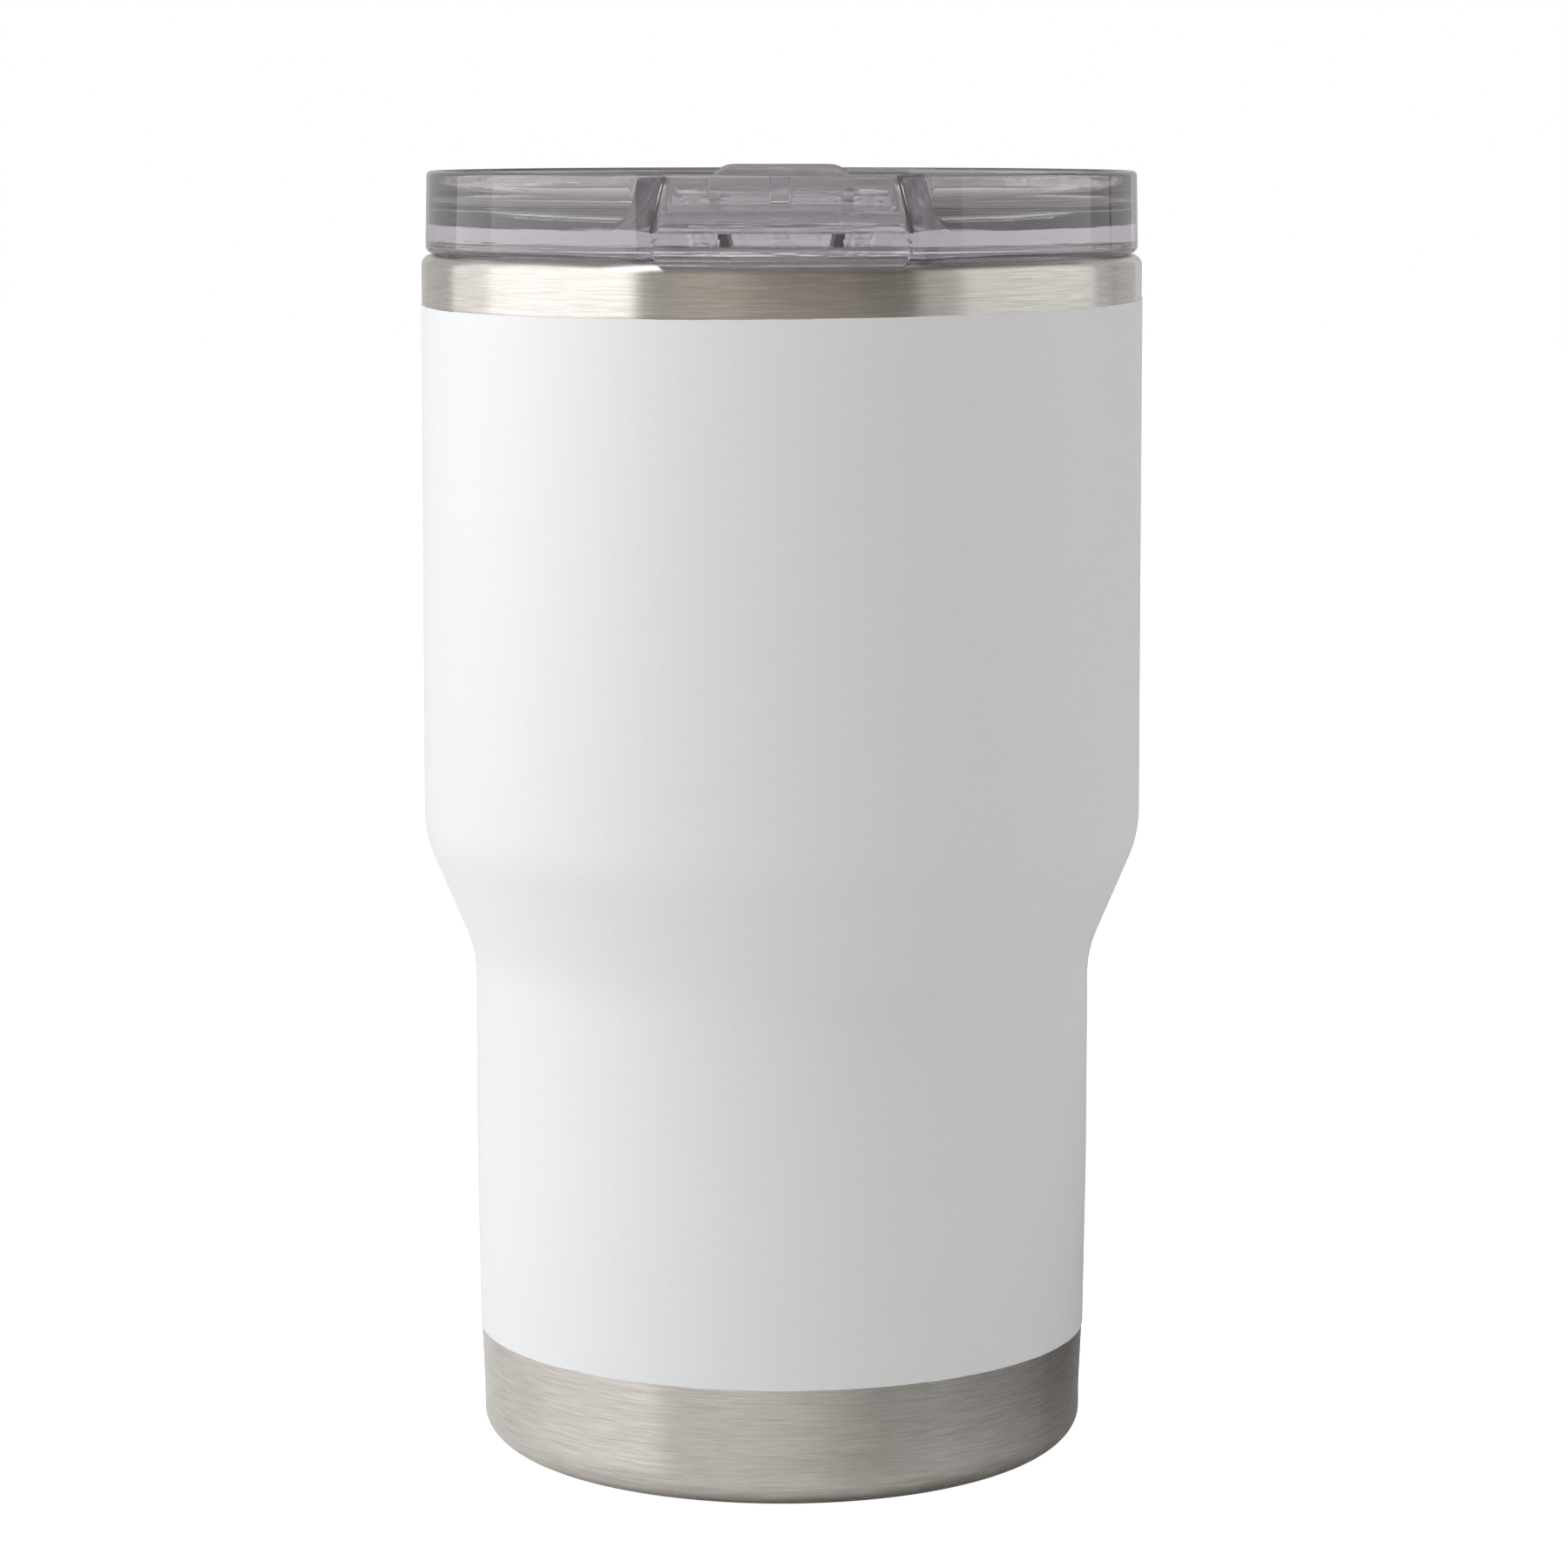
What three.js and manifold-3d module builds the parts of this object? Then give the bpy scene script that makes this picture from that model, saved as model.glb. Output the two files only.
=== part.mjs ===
// Insulated tumbler with a press-in lid, in millimetres.
// +Z is up and z = 0 is the plane the foot stands on. The Z axis is the cup's axis of revolution,
// and the drinking opening is on the -Y side.
import * as THREE from 'three';
import { mergeVertices } from 'three/addons/utils/BufferGeometryUtils.js';
import Module from 'manifold-3d';

const wasm = await Module();
wasm.setup();

const facets = 40; // sides of every large turned piece
const smallFacets = 16; // sides of the small round pieces
const arcStep = Math.PI / 6; // largest turn between two points of a fillet

// Cup, outside
const bodyHeight = 148.4;
const lipRadius = 44.0;
const lipRounding = 1.3;
const shoulderFlare = 0.2; // the cup is this much wider where its upper half starts to narrow
const shoulderHeight = 77.3;
const waistRadius = 38.0; // the narrow half that stands in a car's cup holder
const waistHeight = 62.6;
const blendRadius = 12;
const taperTop = 36; // below this the narrow half draws in towards the foot
const bandDraw = 0.3; // how far the coat's lower edge is in from the narrow half
const footDraw = 0.65;
const footTop = 7.5;
const baseCornerRun = 7;
const baseCornerRise = 4.55;
const footRingWidth = 1.75; // flat ring that the tumbler stands on
const shellWall = 0.6;

// Powder coat: a skin that leaves the lip and the foot bare
const coatBottom = 15.4;
const coatLipMargin = 5.65; // bare steel below the lip
const coatThickness = 0.3;
const coatProud = 0.1; // how far the coat stands out of the bare steel
const skinGap = 0.05;

// Vacuum space, liner and foil
const vacuumGap = 2.7;
const linerWall = 0.5;
const linerFloor = 9.0; // inside bottom of the cup
const linerCorner = 6;
const lipSeamWidth = 0.9; // how far the liner's lip reaches out over the vacuum space
const seamGap = 0.08;
const foilGap = 0.5;
const foilThickness = 0.25;
const foilBottom = 17;
const foilTopMargin = 10;

// Base stack
const coverRecess = 0.9;
const coverRimHeight = 1.5;
const coverWall = 0.8;
const weldGap = 0.3;
const vacuumBaseLap = 2.2; // how far the inner base plate reaches over the foot ring
const vacuumBaseTop = 3.8;
const portRadius = 1.2;
const portPocketRadius = 5;
const portPocketDepth = 0.7;
const beadRadius = 3.2;
const beadHeight = 0.9;
const beadFit = 0.1;
const beadRounding = 0.5;
const getterRadius = 4.2;
const getterHeight = 1.2;
const getterOffset = 15; // from the axis
const getterCupWall = 0.4;
const getterFit = 0.2;

// Lid: heights are above its seat
const seatGap = 0.1;
const lidHeight = 10.0;
const lidSetback = 0.5; // the lid's wall stands in from the lip by this much
const lidDraft = 0.2; // the wall is this much narrower at its top
const lidWall = 1.06;
const lidTopRounding = 0.8;
const lidBottomRounding = 1.0;
const lidFloorTop = 3.2;
const lidFloorThickness = 1.6;
const bowlRun = 12.2; // the bowl's curve, inward from the wall
const bowlMargin = 1.5; // of the bowl's upper edge from the lid's top
const skirtClearance = 0.6;
const skirtWall = 1.7;
const skirtDepth = 9.4;
const grooveTop = 4.0; // below the seat
const grooveHeight = 2.6;
const grooveDepth = 1.1;
const skirtRounding = 0.7;
const gasketFit = 0.12; // clearance of the gasket to the bore and to its groove
const gasketRib = 0.45; // of each sealing rib's peak from the gasket's end

// Lift notch at the front of the lid's flange, and the tab in it
const notchHalfAngle = THREE.MathUtils.degToRad(20.6);
const notchTop = 2.6;
const notchDepth = 3.5; // in from the wall's outside
const tabReach = 0.75; // past the lip
const tabDrop = 0.6; // below the seat
const tabThickness = 0.6;
const tabClearance = 0.25;
const tabLap = 0.5; // into the panel behind the notch

// Slider pocket: its two ribs lean outward going down
const pocketSideGap = 0.3; // from the ribs to the upper edges of the slider's plate
const pocketLean = 1.6; // each rib's foot is this much further out than its top
const pocketRearGap = 1.5; // behind the slider when it is open
const ribWall = 2.6;
const ribMargin = 0.4; // of the ribs' upper edges from the lid's top
const ribSink = 0.4; // of the ribs' feet into the lid's floor
const toothWidth = 2.3;
const toothReach = 1.3;
const toothGap = 0.9; // above the slider's plate

// Openings in the lid's floor
const drinkHalfWidth = 7.0;
const drinkHalfDepth = 3.5;
const drinkMargin = 0.7; // from the skirt's inside
const drinkCorner = 3.43;
const ventRadius = 1.2;
const ventOffset = 27;

// Slider
const sliderTravel = 15;
const sliderHalfWidth = 14.1;
const sliderLength = 24.8;
const sliderPlate = 2.3;
const sliderLift = 0.2; // above the lid's floor
const sliderFrontGap = 0.9;
const sliderCorner = 4;
const deckHeight = 1.2;
const deckInset = 1.3;
const deckSetback = 11.4; // of the deck's front edge from the slider's
const deckRearMargin = 1.0;
const deckFrontCorner = 2;
const sink = 0.5; // of the deck and the legs into the plate
const thumbHalfWidth = 8.6;
const thumbProud = 1.0; // above the lid's top
const thumbRounding = 3.0;
const thumbSetback = 13.3;
const thumbDepth = 6;
const notchWidth = 1.3; // of the two small notches in the deck's front edge
const notchLength = 1.6;
const legOffset = 7.65;
const legWidth = 2.3;
const legLength = 3.0;
const legRearMargin = 1.0;
const hookReach = 1.1;
const hookHeight = 1.1;
const hookChamfer = 0.6;
const hookEdge = 0.3; // thickness of the hook's outer end
const slotClearance = 0.3;

// Sizes that follow from the ones above
const coatTop = bodyHeight - coatLipMargin;
const shoulderRadius = lipRadius + shoulderFlare;
const bandRadius = waistRadius - bandDraw;
const footRadius = waistRadius - footDraw;
const footOpening = footRadius - baseCornerRun - footRingWidth;
const vacuumBaseRadius = footOpening + vacuumBaseLap;
const coatRelief = coatThickness + skinGap - coatProud; // the shell is this much smaller under the coat
const linerSetback = shellWall + vacuumGap + linerWall; // liner's inside from the shell's outside
const boreRadius = lipRadius - linerSetback;
const seamRadius = boreRadius + linerWall + lipSeamWidth;
const lidSeat = bodyHeight + seatGap;
const lidRadius = lipRadius - lidSetback;
const lidInner = lidRadius - lidDraft - lidWall;
const skirtOuter = boreRadius - skirtClearance;
const skirtInner = skirtOuter - skirtWall;
const ribTop = lidHeight - ribMargin;
const sliderFront = -lidInner + sliderFrontGap;
const sliderRear = sliderFront + sliderLength;
const sliderBottom = lidFloorTop + sliderLift;
const plateTop = sliderBottom + sliderPlate;
const pocketRear = sliderRear + sliderTravel + pocketRearGap;
const pocketSlope = pocketLean / (lidHeight - lidFloorTop);
const pocketHalfFloor = sliderHalfWidth + pocketSideGap + pocketSlope * (plateTop - lidFloorTop);

// Points of an elliptic quarter or part of one, angles in degrees from +radius towards +height.
function ellipseArc(centreR, centreZ, runR, riseZ, fromDeg, toDeg, steps) {
  const points = [];
  for (let i = 0; i <= steps; i++) {
    const angle = THREE.MathUtils.degToRad(fromDeg + ((toDeg - fromDeg) * i) / steps);
    points.push([centreR + runR * Math.cos(angle), centreZ + riseZ * Math.sin(angle)]);
  }
  return points;
}

// Replaces each corner [x, y, fillet] that has a fillet with an arc tangent to its two sides.
function filleted(corners, closed) {
  const points = [];
  const count = corners.length;
  corners.forEach(([x, y, fillet = 0], i) => {
    const corner = new THREE.Vector2(x, y);
    if (!fillet || (!closed && (i === 0 || i === count - 1))) {
      points.push(corner);
      return;
    }
    const before = new THREE.Vector2(...corners[(i + count - 1) % count]).sub(corner);
    const after = new THREE.Vector2(...corners[(i + 1) % count]).sub(corner);
    const half = Math.abs(before.angleTo(after)) / 2;
    const longest = 0.98 * Math.min(before.length(), after.length());
    const reach = Math.min(fillet / Math.tan(half), longest);
    const radius = reach * Math.tan(half);
    before.normalize();
    after.normalize();
    const centre = before.clone().add(after).setLength(radius / Math.sin(half)).add(corner);
    const start = before.multiplyScalar(reach).add(corner).sub(centre);
    const end = after.multiplyScalar(reach).add(corner).sub(centre);
    let sweep = end.angle() - start.angle();
    if (sweep > Math.PI) sweep -= 2 * Math.PI;
    if (sweep < -Math.PI) sweep += 2 * Math.PI;
    const steps = Math.max(2, Math.ceil(Math.abs(sweep) / arcStep));
    for (let k = 0; k <= steps; k++) {
      const angle = start.angle() + (sweep * k) / steps;
      const point = new THREE.Vector2(Math.cos(angle), Math.sin(angle));
      points.push(point.multiplyScalar(radius).add(centre));
    }
  });
  return points;
}

// Turned solid about Z. Corners are [radius, height, fillet], up the outside and down the inside.
// A profile that doesn't begin and end on the axis is closed on itself.
function turned(corners, sides = facets) {
  const onAxis = corners[0][0] === 0;
  const points = filleted(corners, !onAxis);
  if (!onAxis) points.push(points[0].clone());
  return new THREE.LatheGeometry(points, sides).rotateX(Math.PI / 2);
}

function outlineShape(corners) {
  return new THREE.Shape(filleted(corners, true));
}

// Plate of a plan outline between two heights.
function plate(shape, bottom, top) {
  const options = { depth: top - bottom, bevelEnabled: false, curveSegments: 12 };
  return new THREE.ExtrudeGeometry(shape, options).translate(0, 0, bottom);
}

// Bar of an [x, z, fillet] section between two places along Y.
function barAlongY(section, front, rear) {
  const options = { depth: rear - front, bevelEnabled: false };
  const bar = new THREE.ExtrudeGeometry(outlineShape(section), options);
  return bar.rotateX(Math.PI / 2).translate(0, rear, 0);
}

// Ring sector in plan about the -Y direction.
function frontSector(inner, outer, halfAngle) {
  const shape = new THREE.Shape();
  const middle = -Math.PI / 2;
  shape.absarc(0, 0, outer, middle - halfAngle, middle + halfAngle, false);
  shape.absarc(0, 0, inner, middle + halfAngle, middle - halfAngle, true);
  return shape;
}

function solid(geometry) {
  const bare = geometry.clone();
  bare.deleteAttribute('normal');
  bare.deleteAttribute('uv');
  const merged = mergeVertices(bare, 1e-4);
  const index = merged.index.array;
  const triangles = [];
  for (let i = 0; i < index.length; i += 3) {
    const [a, b, c] = [index[i], index[i + 1], index[i + 2]];
    if (a !== b && b !== c && c !== a) triangles.push(a, b, c);
  }
  return new wasm.Manifold(
    new wasm.Mesh({
      numProp: 3,
      vertProperties: new Float32Array(merged.attributes.position.array),
      triVerts: new Uint32Array(triangles),
    })
  );
}

function surfaceOf(shape) {
  const mesh = shape.getMesh();
  const geometry = new THREE.BufferGeometry();
  geometry.setAttribute('position', new THREE.BufferAttribute(mesh.vertProperties, 3));
  geometry.setIndex(new THREE.BufferAttribute(mesh.triVerts, 1));
  geometry.computeVertexNormals();
  return geometry;
}

const tumbler = new THREE.Group();

function addPiece(group, name, geometry, material) {
  const mesh = new THREE.Mesh(geometry, material);
  mesh.name = name;
  group.add(mesh);
  return mesh;
}

const brushedSteel = new THREE.MeshStandardMaterial({ color: 0xb9b4ac, roughness: 0.35, metalness: 1 });
const whiteCoat = new THREE.MeshStandardMaterial({ color: 0xe6e9ea, roughness: 0.55, metalness: 0 });
const drawnSteel = new THREE.MeshStandardMaterial({ color: 0xa9a8a5, roughness: 0.45, metalness: 1 });
const copper = new THREE.MeshStandardMaterial({ color: 0xb87333, roughness: 0.3, metalness: 1 });
const getterMetal = new THREE.MeshStandardMaterial({ color: 0x6b6a68, roughness: 0.8, metalness: 0.6 });
const solderGlass = new THREE.MeshStandardMaterial({ color: 0x3d4a42, roughness: 0.2, metalness: 0 });
const clearPlastic = new THREE.MeshStandardMaterial({
  color: 0xd9d4dc,
  roughness: 0.05,
  metalness: 0,
  transparent: true,
  opacity: 0.4,
});
const silicone = new THREE.MeshStandardMaterial({ color: 0xdedede, roughness: 0.6, metalness: 0 });

// The outline from the coat's lower edge to its upper one, moved in towards the axis by inset.
function coatedLine(inset, bottom, top) {
  return [
    [bandRadius - inset, bottom],
    [waistRadius - inset, taperTop],
    [waistRadius - inset, waistHeight, blendRadius],
    [shoulderRadius - inset, shoulderHeight, blendRadius],
    [lipRadius - inset, top],
  ];
}

// The stepped outline of the liner or of a sleeve around it.
function innerLine(inset, bottom, top) {
  return [
    [waistRadius - inset, bottom],
    [waistRadius - inset, waistHeight, blendRadius],
    [shoulderRadius - inset, shoulderHeight, blendRadius],
    [lipRadius - inset, top],
  ];
}

// Drawn outer shell: rounded lip at the top, rounded corner and flat foot ring at the bottom.
function outerShell() {
  const cornerCentre = footRadius - baseCornerRun;
  const outside = [
    [footOpening, 0],
    ...ellipseArc(cornerCentre, baseCornerRise, baseCornerRun, baseCornerRise, -90, 0, 5),
    [footRadius, footTop],
    [bandRadius, coatBottom],
    ...coatedLine(coatRelief, coatBottom, coatTop),
    [lipRadius, coatTop],
    [lipRadius, bodyHeight, lipRounding],
    [seamRadius, bodyHeight],
  ];
  const run = baseCornerRun - shellWall;
  const rise = baseCornerRise - shellWall;
  const inside = [
    [seamRadius, bodyHeight - shellWall],
    [lipRadius - shellWall, bodyHeight - shellWall, lipRounding - shellWall],
    ...coatedLine(shellWall, coatBottom, coatTop).reverse(),
    [footRadius - shellWall, footTop],
    ...ellipseArc(cornerCentre, baseCornerRise, run, rise, 0, -90, 4),
    [footOpening, shellWall],
  ];
  return turned([...outside, ...inside]);
}

function powderCoat() {
  const bottom = coatBottom + skinGap;
  const top = coatTop - skinGap;
  const inside = coatedLine(coatThickness - coatProud, bottom, top).reverse();
  return turned([...coatedLine(-coatProud, bottom, top), ...inside]);
}

// Drawn liner: the cup that holds the drink, with its lip rolled out to the shell's.
function innerLiner() {
  const outer = linerSetback - linerWall;
  const underside = linerFloor - linerWall;
  const seam = seamRadius - seamGap;
  const outside = innerLine(outer, underside, bodyHeight - linerWall);
  outside[0].push(linerCorner + linerWall);
  outside[outside.length - 1].push(linerWall / 2);
  const inside = innerLine(linerSetback, linerFloor, bodyHeight).reverse();
  inside[0].push(lipRounding);
  inside[inside.length - 1].push(linerCorner);
  const lip = [
    [seam, bodyHeight - linerWall],
    [seam, bodyHeight],
  ];
  return turned([[0, underside], ...outside, ...lip, ...inside, [0, linerFloor]]);
}

function copperFoil() {
  const inner = linerSetback - linerWall - foilGap;
  const top = bodyHeight - foilTopMargin;
  const inside = innerLine(inner, foilBottom, top).reverse();
  return turned([...innerLine(inner - foilThickness, foilBottom, top), ...inside]);
}

// Inner base plate with a turned-down rim and, in a raised pocket, the evacuation port.
function vacuumBase() {
  const underside = vacuumBaseTop - shellWall;
  const rimBottom = shellWall + weldGap;
  const pocket = portPocketRadius + portPocketDepth;
  return turned([
    [portRadius, underside + portPocketDepth],
    [portPocketRadius, underside + portPocketDepth],
    [pocket, underside],
    [vacuumBaseRadius - shellWall, underside],
    [vacuumBaseRadius - shellWall, rimBottom],
    [vacuumBaseRadius, rimBottom],
    [vacuumBaseRadius, vacuumBaseTop, shellWall],
    [pocket, vacuumBaseTop],
    [portPocketRadius, vacuumBaseTop + portPocketDepth],
    [portRadius, vacuumBaseTop + portPocketDepth],
  ]);
}

// Solder bead that closes the port from below, in the pocket.
function sealingBead() {
  const top = vacuumBaseTop - shellWall + portPocketDepth - beadFit;
  const bottom = top - beadHeight;
  return turned([[0, bottom], [beadRadius, bottom, beadRounding], [beadRadius, top], [0, top]], smallFacets);
}

// Pressed cover disc, its rim turned down inside the foot ring.
function baseCover() {
  const radius = footOpening - weldGap;
  const rimBottom = coverRecess + coverWall - coverRimHeight;
  return turned([
    [0, coverRecess],
    [radius - coverWall, coverRecess],
    [radius - coverWall, rimBottom],
    [radius, rimBottom],
    [radius, coverRecess + coverWall, coverWall / 2],
    [0, coverRecess + coverWall],
  ]);
}

function getterPellet() {
  const top = linerFloor - linerWall - 2 * weldGap;
  const bottom = top - getterHeight;
  return turned([[0, bottom], [getterRadius, bottom], [getterRadius, top], [0, top]], smallFacets);
}

// Shallow pan that holds the getter pellet under the liner.
function getterCup() {
  const top = linerFloor - linerWall - weldGap;
  const pelletBottom = top - weldGap - getterHeight;
  const inner = getterRadius + getterFit;
  const bottom = pelletBottom - getterFit - getterCupWall;
  return turned(
    [
      [0, bottom],
      [inner + getterCupWall, bottom],
      [inner + getterCupWall, top],
      [inner, top],
      [inner, bottom + getterCupWall],
      [0, bottom + getterCupWall],
    ],
    smallFacets
  );
}

// Lid's turned form: plug skirt with a gasket groove, flange, outer wall, and the bowl inside it.
function lidBlank() {
  const underside = lidFloorTop - lidFloorThickness;
  const grooveFloor = skirtOuter - grooveDepth;
  const bowlCentre = lidInner - bowlRun;
  const bowlTop = lidHeight - bowlMargin;
  return turned([
    [0, underside],
    [skirtInner, underside, skirtRounding],
    [skirtInner, -skirtDepth],
    [skirtOuter, -skirtDepth, skirtRounding],
    [skirtOuter, -grooveTop - grooveHeight],
    [grooveFloor, -grooveTop - grooveHeight],
    [grooveFloor, -grooveTop],
    [skirtOuter, -grooveTop],
    [skirtOuter, 0],
    [lidRadius, 0, lidBottomRounding],
    [lidRadius - lidDraft, lidHeight, lidTopRounding],
    [lidInner, lidHeight],
    ...ellipseArc(bowlCentre, bowlTop, bowlRun, bowlTop - lidFloorTop, 0, -90, 6),
    [0, lidFloorTop],
  ]);
}

// Section of the pocket in X and Z, grown by a wall, from one height to another.
function pocketSection(wall, bottom, top) {
  const halfAt = (z) => pocketHalfFloor - pocketSlope * (z - lidFloorTop) + wall;
  return [
    [-halfAt(bottom), bottom],
    [halfAt(bottom), bottom],
    [halfAt(top), top],
    [-halfAt(top), top],
  ];
}

// Tab in the notch: it lies on the lip and its edge hangs a little way down outside.
function liftTab() {
  const centreR = lipRadius - lipRounding;
  const centreZ = -seatGap - lipRounding;
  const over = lipRounding + tabClearance;
  const panel = lidRadius - notchDepth;
  const edge = lipRadius + tabReach;
  const arcEnd = THREE.MathUtils.radToDeg(Math.asin((-tabDrop - centreZ) / over));
  const ring = turned([
    ...ellipseArc(centreR, centreZ, over, over, 75, arcEnd, 3),
    [edge, -tabDrop],
    [edge, tabThickness / 2],
    [panel - tabLap, tabThickness],
    [panel - tabLap, 0],
    [centreR, 0],
  ]);
  const sector = plate(frontSector(panel - 1, edge + 1, notchHalfAngle), -tabDrop - 1, tabThickness + 1);
  return solid(ring).intersect(solid(sector));
}

function lidBody() {
  const above = lidHeight + 1;
  const core = (radius) => solid(turned([[0, -1], [radius, -1], [radius, above], [0, above]]));
  const wallMiddle = lidInner + lidWall / 2;
  const ribs = solid(
    barAlongY(pocketSection(ribWall, lidFloorTop - ribSink, ribTop), -lidRadius, pocketRear + ribWall)
  ).intersect(core(wallMiddle));
  const pocket = solid(
    barAlongY(pocketSection(0, lidFloorTop, above), -lidRadius, pocketRear)
  ).intersect(core(lidInner));
  const notchPlan = frontSector(lidRadius - notchDepth, lidRadius + 3, notchHalfAngle);
  const notch = solid(plate(notchPlan, -3, notchTop));
  const half = toothWidth / 2;
  const toothBottom = plateTop + toothGap;
  const toothSection = [[-half, toothBottom], [half, toothBottom], [half, ribTop], [-half, ribTop]];
  const toothBar = barAlongY(toothSection, -lidRadius, -lidInner + toothReach);
  const tooth = solid(toothBar).intersect(core(wallMiddle));
  const belowFloor = lidFloorTop - lidFloorThickness - 1;
  const aboveFloor = lidFloorTop + 1;
  const drinkY = -skirtInner + drinkMargin + drinkHalfDepth;
  const drink = outlineShape([
    [-drinkHalfWidth, drinkY - drinkHalfDepth, drinkCorner],
    [drinkHalfWidth, drinkY - drinkHalfDepth, drinkCorner],
    [drinkHalfWidth, drinkY + drinkHalfDepth, drinkCorner],
    [-drinkHalfWidth, drinkY + drinkHalfDepth, drinkCorner],
  ]);
  const vent = turned(
    [[0, belowFloor], [ventRadius, belowFloor], [ventRadius, aboveFloor], [0, aboveFloor]],
    smallFacets
  );
  let lid = solid(lidBlank()).add(ribs).subtract(pocket).subtract(notch).add(tooth);
  lid = lid.add(liftTab());
  lid = lid.subtract(solid(plate(drink, belowFloor, aboveFloor)));
  lid = lid.subtract(solid(vent.translate(0, ventOffset, 0)));
  for (const side of [-1, 1]) {
    const middle = side * legOffset;
    const halfSlot = legWidth / 2 + slotClearance;
    const legRear = sliderRear - legRearMargin;
    const front = legRear - legLength - slotClearance;
    const rear = legRear + sliderTravel + slotClearance;
    const slot = outlineShape([
      [middle - halfSlot, front],
      [middle + halfSlot, front],
      [middle + halfSlot, rear],
      [middle - halfSlot, rear],
    ]);
    lid = lid.subtract(solid(plate(slot, belowFloor, aboveFloor)));
  }
  return surfaceOf(lid);
}

// Gasket ring in the plug's groove, with two sealing ribs.
function lidGasket() {
  const inner = skirtOuter - grooveDepth + gasketFit;
  const outer = boreRadius - gasketFit;
  const root = skirtOuter - gasketFit;
  const top = -grooveTop - gasketFit;
  const bottom = -grooveTop - grooveHeight + gasketFit;
  const middle = (top + bottom) / 2;
  return turned([
    [inner, bottom],
    [root, bottom],
    [outer, bottom + gasketRib],
    [root, middle],
    [outer, top - gasketRib],
    [root, top],
    [inner, top],
  ]);
}

// Slider: plate whose front edge follows the wall, raised deck, thumb ridge and two hooked legs.
function slider() {
  const thumbTop = lidHeight + thumbProud;
  const deckHalfWidth = sliderHalfWidth - deckInset;
  const deckTop = plateTop + deckHeight;
  const plan = new THREE.Shape();
  const frontAngle = Math.asin(sliderHalfWidth / -sliderFront);
  const middle = -Math.PI / 2;
  plan.absarc(0, 0, -sliderFront, middle - frontAngle, middle + frontAngle, false);
  const cornerX = sliderHalfWidth - sliderCorner;
  const cornerY = sliderRear - sliderCorner;
  plan.absarc(cornerX, cornerY, sliderCorner, 0, Math.PI / 2, false);
  plan.absarc(-cornerX, cornerY, sliderCorner, Math.PI / 2, Math.PI, false);
  const deckFront = sliderFront + deckSetback;
  const deckRear = sliderRear - deckRearMargin;
  const deck = outlineShape([
    [-deckHalfWidth, deckFront, deckFrontCorner],
    [deckHalfWidth, deckFront, deckFrontCorner],
    [deckHalfWidth, deckRear, sliderCorner - 1],
    [-deckHalfWidth, deckRear, sliderCorner - 1],
  ]);
  const thumb = [
    [-thumbHalfWidth, plateTop],
    [thumbHalfWidth, plateTop],
    [thumbHalfWidth, thumbTop, thumbRounding],
    [-thumbHalfWidth, thumbTop, thumbRounding],
  ];
  const thumbFront = sliderFront + thumbSetback;
  let piece = solid(plate(plan, sliderBottom, plateTop));
  piece = piece.add(solid(plate(deck, plateTop - sink, deckTop)));
  piece = piece.add(solid(barAlongY(thumb, thumbFront, thumbFront + thumbDepth)));
  const legRear = sliderRear - legRearMargin;
  const hookTop = lidFloorTop - lidFloorThickness - slotClearance;
  for (const side of [-1, 1]) {
    const inside = legOffset - legWidth / 2;
    const outside = legOffset + legWidth / 2;
    const half = notchWidth / 2;
    const section = [
      [inside, sliderBottom + sink],
      [inside, hookTop - hookHeight],
      [outside - hookChamfer, hookTop - hookHeight],
      [outside + hookReach, hookTop - hookEdge],
      [outside + hookReach, hookTop],
      [outside, hookTop],
      [outside, sliderBottom + sink],
    ].map(([x, z]) => [side * x, z]);
    if (side < 0) section.reverse();
    piece = piece.add(solid(barAlongY(section, legRear - legLength, legRear)));
    const window = outlineShape([
      [side * legOffset - half, deckFront - 1],
      [side * legOffset + half, deckFront - 1],
      [side * legOffset + half, deckFront + notchLength],
      [side * legOffset - half, deckFront + notchLength],
    ]);
    piece = piece.subtract(solid(plate(window, plateTop, deckTop + 1)));
  }
  return surfaceOf(piece);
}

addPiece(tumbler, 'outer_shell', outerShell(), brushedSteel);
addPiece(tumbler, 'powder_coat', powderCoat(), whiteCoat);
addPiece(tumbler, 'inner_liner', innerLiner(), drawnSteel);
addPiece(tumbler, 'copper_foil_wrap', copperFoil(), copper);
addPiece(tumbler, 'vacuum_base', vacuumBase(), drawnSteel);
addPiece(tumbler, 'sealing_bead', sealingBead(), solderGlass);
addPiece(tumbler, 'base_cover', baseCover(), brushedSteel);
addPiece(tumbler, 'getter_cup', getterCup(), drawnSteel).position.x = getterOffset;
addPiece(tumbler, 'getter_pellet', getterPellet(), getterMetal).position.x = getterOffset;

const lid = new THREE.Group();
lid.position.z = lidSeat;
tumbler.add(lid);
addPiece(lid, 'lid_body', lidBody(), clearPlastic);
addPiece(lid, 'lid_gasket', lidGasket(), silicone);
addPiece(lid, 'slider', slider(), clearPlastic);

export default tumbler;
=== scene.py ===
import math

import bmesh
import bpy
from mathutils import Matrix, Vector, noise


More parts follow.
